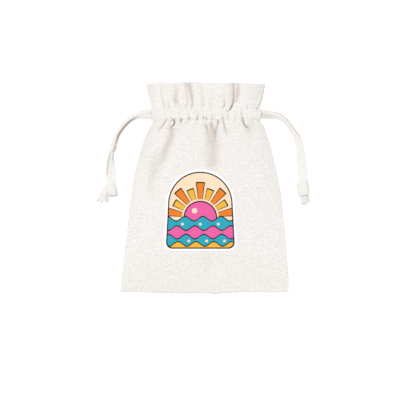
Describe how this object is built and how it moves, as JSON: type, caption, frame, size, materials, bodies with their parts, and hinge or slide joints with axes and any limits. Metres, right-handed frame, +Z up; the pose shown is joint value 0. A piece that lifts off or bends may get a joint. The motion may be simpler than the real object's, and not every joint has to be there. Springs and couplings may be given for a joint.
{
  "type": "drawstring pouch",
  "caption": "Flat cotton-linen drawstring pouch lying on its back: gathered neck with a ruffle, flat tapes out of both sides tied in knots, and a printed film on the front.",
  "frame": {"origin": "middle of the pouch's outline, on the surface it lies on; loose tapes and knots are not counted", "axes": "+Z up out of the front, +Y from the bottom seam to the mouth, +X to the right as the front is seen from above"},
  "size_m": [0.2023, 0.2, 0.0157],
  "materials": {
    "cloth": "natural off-white cotton-linen plain weave with slubs",
    "tape": "flat woven cotton tape, off-white",
    "print_film": "thin pressed transfer film with flat colours"
  },
  "bodies": {
    "root": {"front_panel": "cloth", "back_panel": "cloth", "transfer_film": "print_film", "left_drawstring": "tape", "left_knot": "tape", "right_drawstring": "tape", "right_knot": "tape"}
  },
  "joints": []
}
